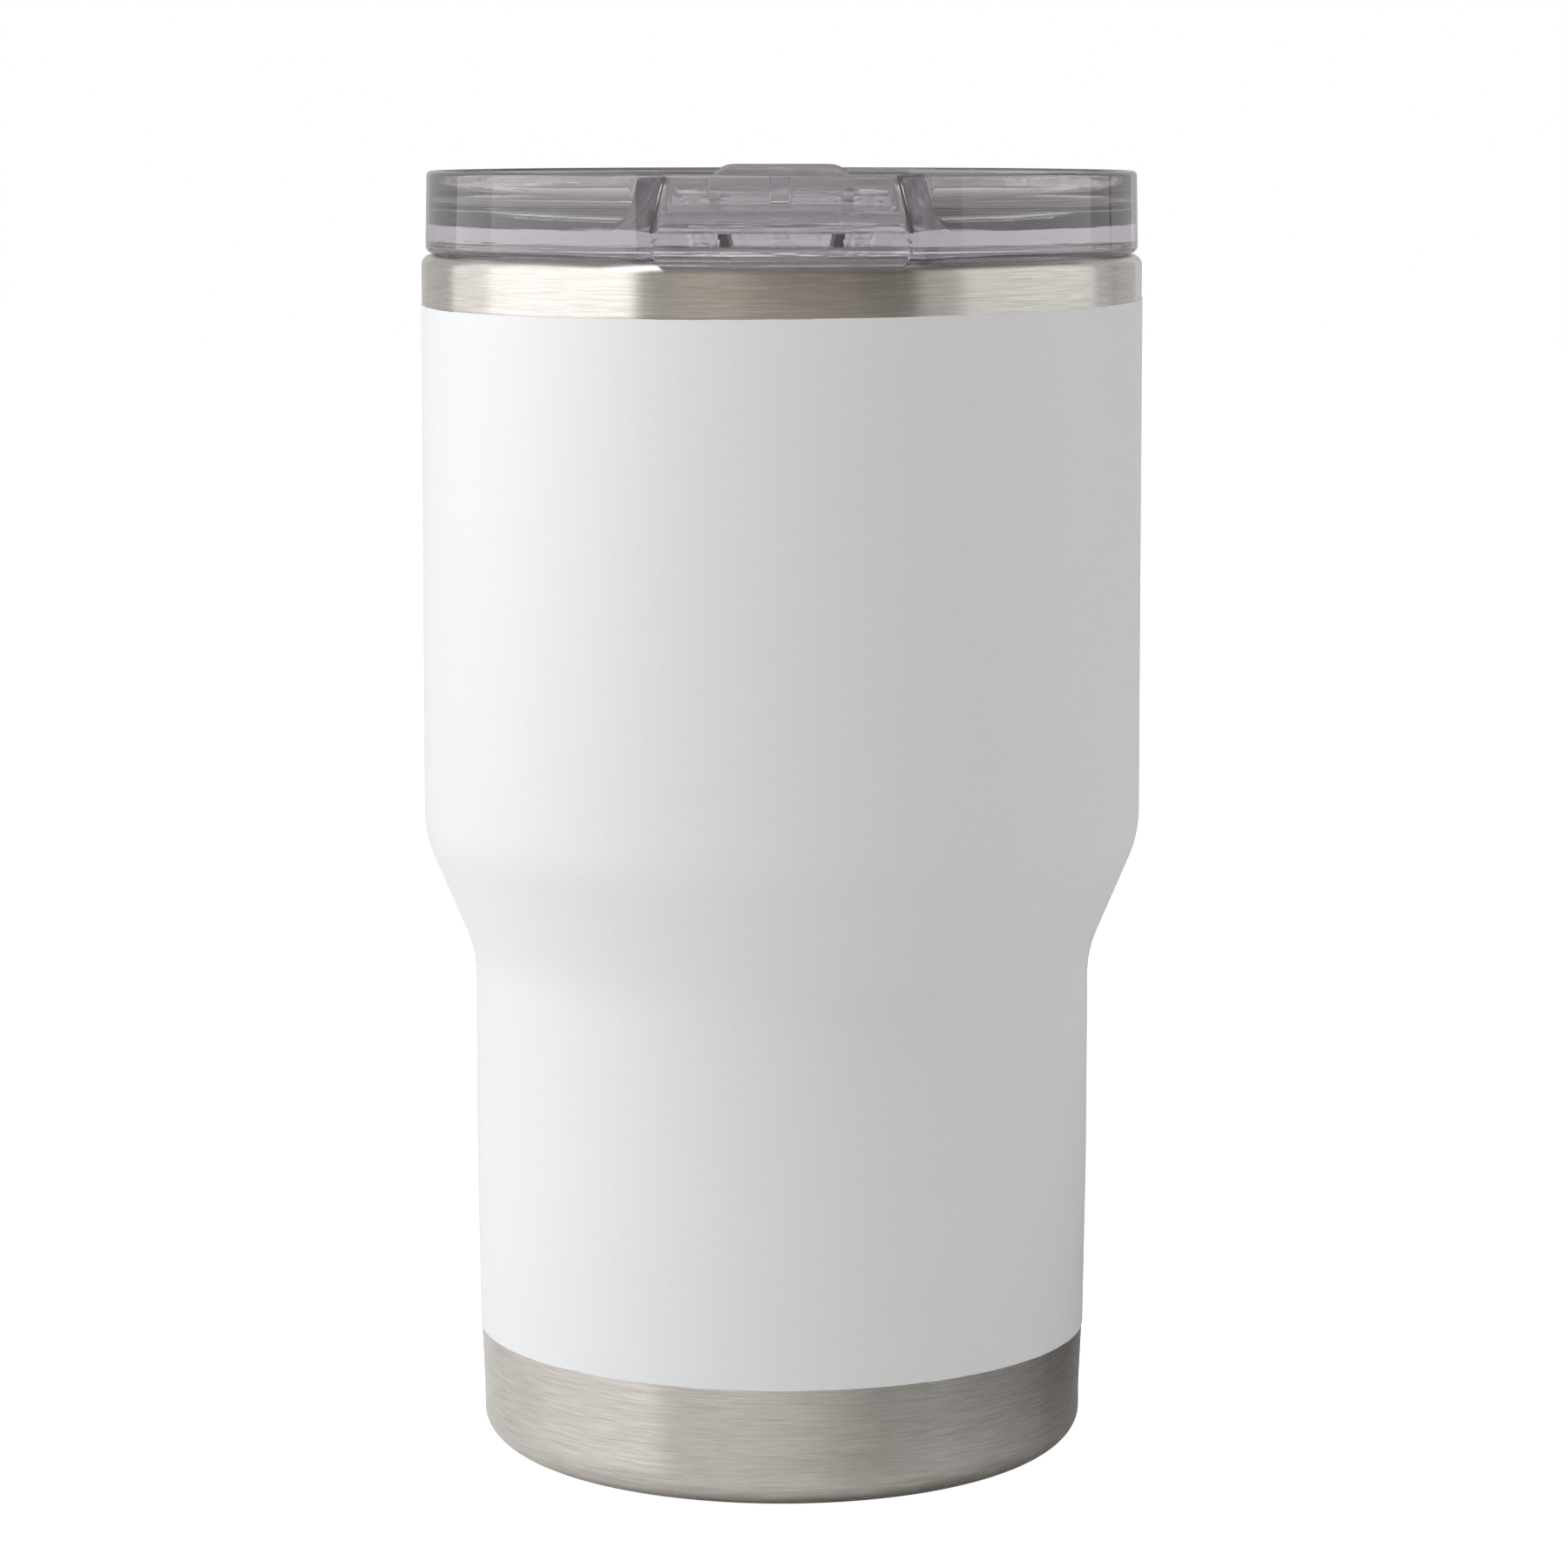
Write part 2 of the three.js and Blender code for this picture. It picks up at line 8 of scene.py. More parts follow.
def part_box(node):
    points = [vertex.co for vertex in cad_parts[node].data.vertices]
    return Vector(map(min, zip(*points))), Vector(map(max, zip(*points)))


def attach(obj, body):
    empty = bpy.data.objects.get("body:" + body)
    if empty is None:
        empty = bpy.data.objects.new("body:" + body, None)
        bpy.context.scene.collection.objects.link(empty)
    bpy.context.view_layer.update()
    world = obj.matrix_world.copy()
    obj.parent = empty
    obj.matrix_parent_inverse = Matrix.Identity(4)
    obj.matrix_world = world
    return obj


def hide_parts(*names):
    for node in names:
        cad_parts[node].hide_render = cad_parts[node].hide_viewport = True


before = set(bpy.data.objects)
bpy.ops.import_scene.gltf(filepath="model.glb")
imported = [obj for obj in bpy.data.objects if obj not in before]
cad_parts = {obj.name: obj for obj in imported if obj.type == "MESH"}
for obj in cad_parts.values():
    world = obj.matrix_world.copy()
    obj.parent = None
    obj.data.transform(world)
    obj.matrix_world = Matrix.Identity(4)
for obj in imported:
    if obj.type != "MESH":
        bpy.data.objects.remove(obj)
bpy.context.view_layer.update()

mm = 0.001
fullTurn = 2 * math.pi
mergeDistance = 1e-7  # metres

cameraSpec = {
    "right": 0.28,  # mm from the cup's axis
    "distance": 610.66,  # from the axis, on the side of the drinking opening
    "aboveLip": 15.97,
    "pitch": 7.6,  # degrees down
    "lens": 113.93,
    "sensor": 36,
}

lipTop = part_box("outer_shell")[1][2]
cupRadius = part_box("outer_shell")[1][0]


def makeCamera(spec):
    data = bpy.data.cameras.new("productCamera")
    data.lens = spec["lens"]
    data.sensor_width = spec["sensor"]
    data.clip_start = 0.01
    camera = bpy.data.objects.new("productCamera", data)
    place = (spec["right"] * mm, -spec["distance"] * mm, lipTop + spec["aboveLip"] * mm)
    tilt = Matrix.Rotation(math.radians(90 - spec["pitch"]), 4, "X")
    camera.matrix_world = Matrix.Translation(place) @ tilt
    bpy.context.scene.collection.objects.link(camera)
    bpy.context.scene.camera = camera


makeCamera(cameraSpec)


def linear(hexColour, alpha=1.0):
    channels = [int(hexColour[i:i + 2], 16) / 255 for i in (1, 3, 5)]
    values = [c / 12.92 if c <= 0.04045 else ((c + 0.055) / 1.055) ** 2.4 for c in channels]
    return (*values, alpha)


def addNode(tree, kind, settings=None, links=None):
    node = tree.nodes.new(kind)
    for key, value in (settings or {}).items():
        if isinstance(key, int) or key in node.inputs:
            node.inputs[key].default_value = value
        else:
            setattr(node, key, value)
    for key, source in (links or {}).items():
        tree.links.new(source, node.inputs[key])
    return node


studio = {
    "backdrop": "#FFFFFF",  # what the camera sees round the object: a seamless white sweep
    "through": "#FCF8F3",  # the pale room at eye level, as it shows through the clear lid
    "ceiling": "#77717A",  # and above
    "skyline": (0.04, 0.5),  # sines of the two heights between which the one turns into the other
    "ambient": "#5E5850",  # the room in reflections and as light
}

# azimuth is in degrees from the camera side, level is radiance, the rest is in metres, and an
# aimed box leans towards the cup
softBoxes = {
    "leftWide": {
        "azimuth": -86, "distance": 0.85, "width": 1.44, "height": 1.1, "centre": 0.5,
        "level": 1.12, "colour": "#FDFDFF", "aimed": False,
    },
    "leftCore": {
        "azimuth": -75, "distance": 0.9, "width": 1.0, "height": 1.1, "centre": 0.5,
        "level": 0.62, "colour": "#FDFDFF", "aimed": False,
    },
    "leftEdge": {
        "azimuth": -140, "distance": 1.2, "width": 0.6, "height": 1.0, "centre": 0.5,
        "level": 0.45, "colour": "#FDFDFF", "aimed": False,
    },
    "rightWide": {
        "azimuth": 86, "distance": 1.15, "width": 2.14, "height": 1.0, "centre": 0.52,
        "level": 0.52, "colour": "#FBFCFF", "aimed": False,
    },
    "rightCore": {
        "azimuth": 87, "distance": 1.2, "width": 1.33, "height": 1.0, "centre": 0.52,
        "level": 0.53, "colour": "#FBFCFF", "aimed": False,
    },
    "rightEdge": {
        "azimuth": 143, "distance": 1.3, "width": 0.6, "height": 1.0, "centre": 0.52,
        "level": 0.45, "colour": "#FBFCFF", "aimed": False,
    },
    "backWall": {
        "azimuth": 180, "distance": 1.6, "width": 1.5, "height": 1.2, "centre": 0.3,
        "level": 0.5, "colour": "#FFFFFF", "aimed": False,
    },
    "frontWide": {
        "azimuth": -4, "distance": 2.0, "width": 2.2, "height": 1.3, "centre": 0.6,
        "level": 0.1, "colour": "#FFE2C0", "aimed": False,
    },
    "frontNarrow": {
        "azimuth": -22, "distance": 2.0, "width": 0.85, "height": 1.3, "centre": 0.6,
        "level": 0.07, "colour": "#FFE2C0", "aimed": False,
    },
    "keyBox": {
        "azimuth": -40, "distance": 0.6, "width": 0.8, "height": 0.8, "centre": 1.05,
        "level": 2.35, "colour": "#FBFCFF", "aimed": True,
    },
    "topBox": {
        "azimuth": 180, "distance": 0.02, "width": 1.0, "height": 1.0, "centre": 1.3,
        "level": 0.9, "colour": "#FFFFFF", "aimed": True,
    },
}


def makeWorld(spec):
    world = bpy.data.worlds.new("studio")
    bpy.context.scene.world = world
    world.use_nodes = True
    tree = world.node_tree
    tree.nodes.clear()
    path = addNode(tree, "ShaderNodeLightPath")
    direction = addNode(tree, "ShaderNodeTexCoord").outputs["Generated"]
    up = addNode(tree, "ShaderNodeSeparateXYZ", None, {0: direction}).outputs[2]
    low, high = spec["skyline"]
    height = addNode(tree, "ShaderNodeMapRange", {"From Min": low, "From Max": high}, {"Value": up})
    room = addNode(
        tree, "ShaderNodeMix",
        {"data_type": "RGBA", 6: linear(spec["through"]), 7: linear(spec["ceiling"])},
        {0: height.outputs["Result"]},
    )
    through = addNode(
        tree, "ShaderNodeMix", {"data_type": "RGBA", 6: linear(spec["ambient"])},
        {0: path.outputs["Is Transmission Ray"], 7: room.outputs[2]},
    )
    seen = addNode(
        tree, "ShaderNodeMix", {"data_type": "RGBA", 7: linear(spec["backdrop"])},
        {0: path.outputs["Is Camera Ray"], 6: through.outputs[2]},
    )
    light = addNode(tree, "ShaderNodeBackground", {"Strength": 1.0}, {"Color": seen.outputs[2]})
    addNode(tree, "ShaderNodeOutputWorld", None, {"Surface": light.outputs[0]})


def makeBox(name, spec):
    data = bpy.data.lights.new(name, "AREA")
    data.shape = "RECTANGLE"
    data.size = spec["width"]
    data.size_y = spec["height"]
    data.color = linear(spec["colour"])[:3]
    data.energy = spec["level"] * math.pi * spec["width"] * spec["height"]
    box = bpy.data.objects.new(name, data)
    angle = math.radians(spec["azimuth"])
    place = Vector((math.sin(angle), -math.cos(angle), 0)) * spec["distance"]
    place.z = spec["centre"]
    aim = -place
    if not spec["aimed"]:
        aim.z = 0
    box.matrix_world = Matrix.Translation(place) @ aim.to_track_quat("-Z", "Y").to_matrix().to_4x4()
    box.visible_camera = False
    box.visible_transmission = False
    bpy.context.scene.collection.objects.link(box)


makeWorld(studio)
for boxName, boxSpec in softBoxes.items():
    makeBox(boxName, boxSpec)
bpy.context.scene.view_settings.view_transform = "Standard"
print("camera and lights placed")


def newMaterial(name):
    material = bpy.data.materials.new(name)
    material.use_nodes = True
    tree = material.node_tree
    tree.nodes.clear()
    shader = addNode(tree, "ShaderNodeBsdfPrincipled")
    addNode(tree, "ShaderNodeOutputMaterial", None, {"Surface": shader.outputs[0]})
    return material, tree, shader


def wipedVector(tree, alongMm, acrossMm):
    # stretched round the cup's axis: long along the brush stroke, short across it
    position = addNode(tree, "ShaderNodeTexCoord").outputs["Object"]
    flat = addNode(tree, "ShaderNodeVectorMath", {"operation": "MULTIPLY", 1: (1, 1, 0)}, {0: position})
    radius = addNode(tree, "ShaderNodeVectorMath", {"operation": "LENGTH"}, {0: flat.outputs[0]})
    split = addNode(tree, "ShaderNodeSeparateXYZ", None, {0: position})
    across = addNode(
        tree, "ShaderNodeMath", {"operation": "SUBTRACT"},
        {0: split.outputs[2], 1: radius.outputs["Value"]},
    )
    joined = addNode(
        tree, "ShaderNodeCombineXYZ", None,
        {0: split.outputs[0], 1: split.outputs[1], 2: across.outputs[0]},
    )
    along = 1 / (alongMm * mm)
    scale = (along, along, 1 / (acrossMm * mm))
    return addNode(
        tree, "ShaderNodeVectorMath", {"operation": "MULTIPLY", 1: scale}, {0: joined.outputs[0]}
    ).outputs[0]


# 304 stainless steel, belt-brushed round the cup as it spins: long fine level lines that
# smear lights up and down and keep them sharp round the cup
steelLook = {
    "light": "#F4F0EA", "dark": "#9E9A93", "roughness": (0.26, 0.28),
    "strokeMm": 6, "lineMm": 0.12, "patchTimes": 3, "anisotropy": 0.95, "lineHeightMm": 0.003,
}


def brushedSteel(look):
    material, tree, shader = newMaterial("brushedStainlessSteel")
    lines = addNode(
        tree, "ShaderNodeTexNoise", {"Scale": 1.0, "Detail": 3.0, "Roughness": 0.6},
        {"Vector": wipedVector(tree, look["strokeMm"], look["lineMm"])},
    )
    patchSize = (look["strokeMm"] * look["patchTimes"], look["lineMm"] * look["patchTimes"])
    patches = addNode(
        tree, "ShaderNodeTexNoise", {"Scale": 1.0, "Detail": 2.0},
        {"Vector": wipedVector(tree, *patchSize)},
    )
    colour = addNode(
        tree, "ShaderNodeMix",
        {"data_type": "RGBA", 6: linear(look["dark"]), 7: linear(look["light"])},
        {0: lines.outputs["Fac"]},
    )
    fine, coarse = look["roughness"]
    rough = addNode(
        tree, "ShaderNodeMapRange",
        {"From Min": 0.3, "From Max": 0.7, "To Min": fine, "To Max": coarse},
        {"Value": patches.outputs["Fac"]},
    )
    bump = addNode(
        tree, "ShaderNodeBump", {"Strength": 0.35, "Distance": look["lineHeightMm"] * mm},
        {"Height": lines.outputs["Fac"]},
    )
    tangent = addNode(tree, "ShaderNodeTangent", {"direction_type": "RADIAL", "axis": "Z"})
    shader.inputs["Metallic"].default_value = 1.0
    shader.inputs["Anisotropic"].default_value = look["anisotropy"]
    shader.inputs["Anisotropic Rotation"].default_value = 0.25
    tree.links.new(colour.outputs[2], shader.inputs["Base Color"])
    tree.links.new(rough.outputs["Result"], shader.inputs["Roughness"])
    tree.links.new(bump.outputs[0], shader.inputs["Normal"])
    tree.links.new(tangent.outputs[0], shader.inputs["Tangent"])
    return material


# Polyester powder coat, baked on: off-white and satin, with the fine orange peel and grit
# of fused powder
coatLook = {
    "light": "#EFF2F4", "dark": "#E8EBED", "roughness": 0.42, "ior": 1.5,
    "grainMm": 0.35, "grainHeightMm": 0.006, "peelMm": 2.2, "peelHeightMm": 0.01,
}


def powderCoat(look):
    material, tree, shader = newMaterial("satinPowderCoat")
    position = addNode(tree, "ShaderNodeTexCoord").outputs["Object"]
    grain = addNode(
        tree, "ShaderNodeTexNoise", {"Scale": 1 / (look["grainMm"] * mm), "Detail": 2.0},
        {"Vector": position},
    )
    peel = addNode(
        tree, "ShaderNodeTexNoise", {"Scale": 1 / (look["peelMm"] * mm), "Detail": 1.0},
        {"Vector": position},
    )
    colour = addNode(
        tree, "ShaderNodeMix",
        {"data_type": "RGBA", 6: linear(look["dark"]), 7: linear(look["light"])},
        {0: grain.outputs["Fac"]},
    )
    coarse = addNode(
        tree, "ShaderNodeBump", {"Strength": 0.3, "Distance": look["peelHeightMm"] * mm},
        {"Height": peel.outputs["Fac"]},
    )
    fine = addNode(
        tree, "ShaderNodeBump", {"Strength": 0.5, "Distance": look["grainHeightMm"] * mm},
        {"Height": grain.outputs["Fac"], "Normal": coarse.outputs[0]},
    )
    shader.inputs["Roughness"].default_value = look["roughness"]
    shader.inputs["IOR"].default_value = look["ior"]
    tree.links.new(colour.outputs[2], shader.inputs["Base Color"])
    tree.links.new(fine.outputs[0], shader.inputs["Normal"])
    return material


# Clear copolyester, injection moulded in a polished mould: glassy, with a faint smoky lavender
# cast and the slight waves of a part that cooled unevenly
plasticLook = {
    "tint": "#FAF8FB", "ior": 1.57, "roughness": 0.015, "clear": 0.95,
    "depthTint": "#C1BDCA", "density": 21.0,
    "waveMm": (12, 0.9), "waveHeightMm": 0.035, "flowMm": 6, "flowHeightMm": 0.05,
}


def clearPlastic(name, look):
    material, tree, shader = newMaterial(name)
    position = addNode(tree, "ShaderNodeTexCoord").outputs["Object"]
    flow = addNode(
        tree, "ShaderNodeTexNoise", {"Scale": 1 / (look["flowMm"] * mm), "Detail": 0.0},
        {"Vector": position},
    )
    coarse = addNode(
        tree, "ShaderNodeBump", {"Strength": 0.5, "Distance": look["flowHeightMm"] * mm},
        {"Height": flow.outputs["Fac"]},
    )
    wave = addNode(
        tree, "ShaderNodeTexNoise", {"Scale": 1.0, "Detail": 2.0},
        {"Vector": wipedVector(tree, *look["waveMm"])},
    )
    bump = addNode(
        tree, "ShaderNodeBump", {"Strength": 0.4, "Distance": look["waveHeightMm"] * mm},
        {"Height": wave.outputs["Fac"], "Normal": coarse.outputs[0]},
    )
    shader.inputs["Base Color"].default_value = linear(look["tint"])
    shader.inputs["Roughness"].default_value = look["roughness"]
    shader.inputs["IOR"].default_value = look["ior"]
    shader.inputs["Transmission Weight"].default_value = look["clear"]
    tree.links.new(bump.outputs[0], shader.inputs["Normal"])
    depth = addNode(
        tree, "ShaderNodeVolumeAbsorption",
        {"Color": linear(look["depthTint"]), "Density": look["density"]},
    )
    output = tree.get_output_node("ALL")
    tree.links.new(depth.outputs[0], output.inputs["Volume"])
    # lets the studio light down into the cup
    path = addNode(tree, "ShaderNodeLightPath")
    passing = addNode(tree, "ShaderNodeBsdfTransparent")
    surface = addNode(
        tree, "ShaderNodeMixShader", None,
        {0: path.outputs["Is Shadow Ray"], 1: shader.outputs[0], 2: passing.outputs[0]},
    )
    tree.links.new(surface.outputs[0], output.inputs["Surface"])
    return material


# Food-grade silicone, compression moulded: milky, soft-edged and dull
siliconeLook = {
    "dark": "#D8D8D6", "light": "#E6E6E4", "cloudMm": 4, "roughness": 0.5, "ior": 1.41, "clear": 0.25,
}


def siliconeRubber(look):
    material, tree, shader = newMaterial("milkySilicone")
    position = addNode(tree, "ShaderNodeTexCoord").outputs["Object"]
    cloud = addNode(
        tree, "ShaderNodeTexNoise", {"Scale": 1 / (look["cloudMm"] * mm), "Detail": 2.0},
        {"Vector": position},
    )
    colour = addNode(
        tree, "ShaderNodeMix",
        {"data_type": "RGBA", 6: linear(look["dark"]), 7: linear(look["light"])},
        {0: cloud.outputs["Fac"]},
    )
    tree.links.new(colour.outputs[2], shader.inputs["Base Color"])
    shader.inputs["Roughness"].default_value = look["roughness"]
    shader.inputs["IOR"].default_value = look["ior"]
    shader.inputs["Transmission Weight"].default_value = look["clear"]
    return material


mottleHeightMm = 0.02


def mottledMetal(name, dark, light, roughness, grainMm, metallic=1.0):
    material, tree, shader = newMaterial(name)
    position = addNode(tree, "ShaderNodeTexCoord").outputs["Object"]
    grain = addNode(
        tree, "ShaderNodeTexNoise", {"Scale": 1 / (grainMm * mm), "Detail": 4.0}, {"Vector": position}
    )
    colour = addNode(
        tree, "ShaderNodeMix", {"data_type": "RGBA", 6: linear(dark), 7: linear(light)},
        {0: grain.outputs["Fac"]},
    )
    bump = addNode(
        tree, "ShaderNodeBump", {"Strength": 0.2, "Distance": mottleHeightMm * mm},
        {"Height": grain.outputs["Fac"]},
    )
    tree.links.new(colour.outputs[2], shader.inputs["Base Color"])
    tree.links.new(bump.outputs[0], shader.inputs["Normal"])
    shader.inputs["Roughness"].default_value = roughness
    shader.inputs["Metallic"].default_value = metallic
    return material


steel = brushedSteel(steelLook)
coat = powderCoat(coatLook)
lidPlastic = clearPlastic("clearCopolyester", plasticLook)
sliderPlastic = clearPlastic("clearCopolyesterSlider", plasticLook)
silicone = siliconeRubber(siliconeLook)
# 304 stainless steel, deep drawn and left as it came off the press: grey, half dull, lightly clouded
drawnSteel = mottledMetal("drawnStainlessSteel", "#B9B5AE", "#CECAC3", 0.42, 1.5)
# Rolled copper foil: warm and bright, unevenly toned
copperFoil = mottledMetal("copperFoil", "#B06A3C", "#C9804E", 0.25, 6)
# Zirconium alloy powder pressed to a pill: dark grey, grainy and dull
getterMetal = mottledMetal("pressedGetterPowder", "#4E4C49", "#6A6763", 0.8, 0.4, 0.7)
# Sealing glass melted over the port: nearly black, with a glossy skin
solderGlass = mottledMetal("solderGlass", "#27312B", "#3B463F", 0.15, 1.2, 0.0)
print("materials made")


def looseObject(bm, name):
    mesh = bpy.data.meshes.new(name)
    bm.to_mesh(mesh)
    bm.free()
    piece = bpy.data.objects.new(name, mesh)
    bpy.context.scene.collection.objects.link(piece)
    return piece


def dress(piece, material, body, replaced, sharpAngle=35):
    piece.data.materials.clear()
    piece.data.materials.append(material)
    piece.data.shade_smooth()
    piece.data.set_sharp_from_angle(angle=math.radians(sharpAngle))
    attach(piece, body)
    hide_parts(replaced)


def cleaned(bm):
    bmesh.ops.remove_doubles(bm, verts=bm.verts, dist=mergeDistance)
    bmesh.ops.recalc_face_normals(bm, faces=bm.faces)
    return bm


def finish(bm, name, material, body, replaced):
    dress(looseObject(cleaned(bm), name), material, body, replaced)


# Four corners in mm, the lower two rounded by low and the upper two by high
def rectangle(left, right, bottom, top, low=0, high=0):
    return [(left, bottom, low), (right, bottom, low), (right, top, high), (left, top, high)]


arcStep = math.radians(12)


def wire(corners, closed):
    # corners are (across, up, fillet) in mm; each fillet becomes an arc tangent to its two sides
    bm = bmesh.new()
    verts = [bm.verts.new((corner[0] * mm, 0, corner[1] * mm)) for corner in corners]
    for first, second in zip(verts, verts[1:]):
        bm.edges.new((first, second))
    if closed:
        bm.edges.new((verts[-1], verts[0]))
    arcs = []
    for vert, corner in zip(verts, corners):
        if len(corner) < 3 or not corner[2]:
            continue
        before, after = [edge.other_vert(vert).co - vert.co for edge in vert.link_edges]
        half = before.angle(after) / 2
        segments = max(3, round((math.pi - 2 * half) / arcStep))
        arcs.append((vert, corner[2] * mm / math.tan(half), segments))
    for vert, reach, segments in arcs:
        bmesh.ops.bevel(
            bm, geom=[vert], offset=reach, offset_type="OFFSET", segments=segments,
            profile=0.5, affect="VERTICES", material=-1,
        )
    return bm


# Full turn of a section (radius, z, fillet) in mm; one that starts on the axis stays open there
def turned(corners, steps=256):
    bm = wire(corners, corners[0][0] > 0)
    bmesh.ops.spin(
        bm, geom=bm.verts[:] + bm.edges[:], cent=(0, 0, 0), axis=(0, 0, 1), dvec=(0, 0, 0),
        angle=fullTurn, steps=steps, use_merge=True, use_duplicate=False,
    )
    return cleaned(bm)


# Part turn of a flat section, first set at start and then swept through sweep, both in degrees
def swept(bm, faces, start, sweep, steps=32):
    turn = Matrix.Rotation(math.radians(start), 3, "Z")
    bmesh.ops.rotate(bm, verts=bm.verts, cent=(0, 0, 0), matrix=turn)
    bmesh.ops.spin(
        bm, geom=faces, cent=(0, 0, 0), axis=(0, 0, 1), dvec=(0, 0, 0),
        angle=math.radians(sweep), steps=steps, use_merge=False, use_duplicate=False,
    )
    return cleaned(bm)


def combine(piece, tool, operation):
    boolean = piece.modifiers.new("join", "BOOLEAN")
    boolean.operation = operation
    boolean.solver = "EXACT"
    boolean.object = tool
    bpy.context.view_layer.update()
    shaped = piece.evaluated_get(bpy.context.evaluated_depsgraph_get())
    mesh = bpy.data.meshes.new_from_object(shaped)
    piece.modifiers.clear()
    piece.data = mesh
    bpy.data.objects.remove(tool)


# Closes a flat wire, moves it to start, pulls it along, and rounds its edges where edgeRound is given
def thickened(bm, start, along, edgeRound):
    face = bmesh.ops.contextual_create(bm, geom=bm.edges[:])["faces"]
    bmesh.ops.translate(bm, verts=bm.verts, vec=start)
    made = bmesh.ops.extrude_face_region(bm, geom=face)
    moved = [item for item in made["geom"] if isinstance(item, bmesh.types.BMVert)]
    bmesh.ops.translate(bm, verts=moved, vec=along)
    bmesh.ops.recalc_face_normals(bm, faces=bm.faces)
    if edgeRound:
        rims = [edge for edge in bm.edges if edge.calc_face_angle(0) > math.radians(60)]
        bmesh.ops.bevel(
            bm, geom=rims, offset=edgeRound * mm, offset_type="OFFSET", segments=3,
            profile=0.5, affect="EDGES", material=-1, clamp_overlap=True,
        )
    return bm


# Bar of a section (x, z, fillet) in mm between two places along Y
def barAlongY(section, front, rear, edgeRound=0.0):
    return thickened(wire(section, True), (0, front * mm, 0), (0, (rear - front) * mm, 0), edgeRound)


# Plate of a plan (x, y, fillet) in mm between two heights
def plate(plan, bottom, top, edgeRound=0.0):
    bm = wire(plan, True)
    layFlat = Matrix.Rotation(-math.pi / 2, 3, "X")
    bmesh.ops.rotate(bm, verts=bm.verts, cent=(0, 0, 0), matrix=layFlat)
    return thickened(bm, (0, 0, bottom * mm), (0, 0, (top - bottom) * mm), edgeRound)


# From here on, a pair is (radius or x, z) in mm, and a third number is the fillet at that corner
cup = {
    "height": lipTop / mm,
    "lip": cupRadius / mm,
    "lipRounding": 1.3,
    "lipInnerRounding": 0.6,
    "seam": 41.6,  # where the lip, rolled inwards, meets the liner
    "shoulder": (44.2, 77.3),
    "waist": (38.0, 62.6),
    "blend": 12,  # of the shoulder and the waist
    "taperTop": (38.0, 36.0, 40),
    "band": (37.7, 15.4),  # where the coat ends and the bare foot starts
    "foot": (37.35, 7.5, 20),
    "cornerRun": 7.0,
    "cornerRise": 4.55,
    "footRing": 28.6,
    "wall": 0.6,
    "coatTop": 142.75,
    "relief": 0.2,  # depth that the steel steps in under the coat
    "reliefStep": 0.02,  # height of that step at the foot
    "reliefShort": 0.6,  # how far below the coat's top edge it ends
}


def cupSide(inset, bottom, top):
    return [
        (cup["band"][0] - inset, bottom),
        (cup["taperTop"][0] - inset, *cup["taperTop"][1:]),
        (cup["waist"][0] - inset, cup["waist"][1], cup["blend"]),
        (cup["shoulder"][0] - inset, cup["shoulder"][1], cup["blend"]),
        (cup["lip"] - inset, top),
    ]


def baseCorner(run, rise, centreUp, fromDeg, toDeg, steps):
    centre = cup["foot"][0] - cup["cornerRun"]
    points = []
    for i in range(steps + 1):
        angle = math.radians(fromDeg + (toDeg - fromDeg) * i / steps)
        points.append((centre + run * math.cos(angle), centreUp + rise * math.sin(angle)))
    return points


def makeShell():
    wall = cup["wall"]
    run, rise = cup["cornerRun"], cup["cornerRise"]
    reliefTop = cup["coatTop"] - cup["reliefShort"]
    outside = [
        (cup["footRing"], 0.0), *baseCorner(run, rise, rise, -90, 0, 16), cup["foot"], cup["band"],
        *cupSide(cup["relief"], cup["band"][1] + cup["reliefStep"], reliefTop),
        (cup["lip"], reliefTop),
        (cup["lip"], cup["height"], cup["lipRounding"]),
        (cup["seam"], cup["height"]),
    ]
    inside = [
        (cup["seam"], cup["height"] - wall),
        (cup["lip"] - wall, cup["height"] - wall, cup["lipInnerRounding"]),
        *cupSide(wall, cup["band"][1], cup["coatTop"])[::-1],
        (cup["foot"][0] - wall, cup["foot"][1]),
        *baseCorner(run - wall, rise - wall, rise, 0, -90, 8),
        (cup["footRing"], wall),
    ]
    finish(turned(outside + inside), "steelShell", steel, "cup", "outer_shell")


# The mask that kept the steel bare sat a little crooked, and the coat broke off unevenly along it
coatSkin = {
    "proud": 0.1,  # past the bare steel
    "gap": 0.05,  # between the coat's inner face and the steel under it
    "edgeRounding": 0.05,
    "tiltFront": -0.65,  # how far the top edge is raised at the front and at the right
    "tiltRight": 0.4,
    "edgeReach": 0.5,  # mm from its edges within which it is ragged
    "ragged": 0.05,
    "raggedPerMetre": (700, 180),
}


def makeCoat():
    bottom = cup["band"][1]
    top = cup["coatTop"]
    outer = cupSide(-coatSkin["proud"], bottom, top)
    outer[0] = (*outer[0], coatSkin["edgeRounding"])
    outer[-1] = (*outer[-1], coatSkin["edgeRounding"])
    inner = cupSide(cup["relief"] - coatSkin["gap"], bottom, top)[::-1]
    bm = turned(outer + inner)
    fine, coarse = coatSkin["raggedPerMetre"]
    for vert in bm.verts:
        atTop = vert.co.z > (top - coatSkin["edgeReach"]) * mm
        atBottom = vert.co.z < (bottom + coatSkin["edgeReach"]) * mm
        if not (atTop or atBottom):
            continue
        shift = noise.noise(vert.co.xyz * fine) * coatSkin["ragged"]
        shift += noise.noise(vert.co.xyz * coarse) * coatSkin["ragged"]
        if atTop:
            shift += (vert.co.x * coatSkin["tiltRight"] - vert.co.y * coatSkin["tiltFront"]) / cupRadius
        vert.co.z += shift * mm
    finish(bm, "coatSkin", coat, "cup", "powder_coat")


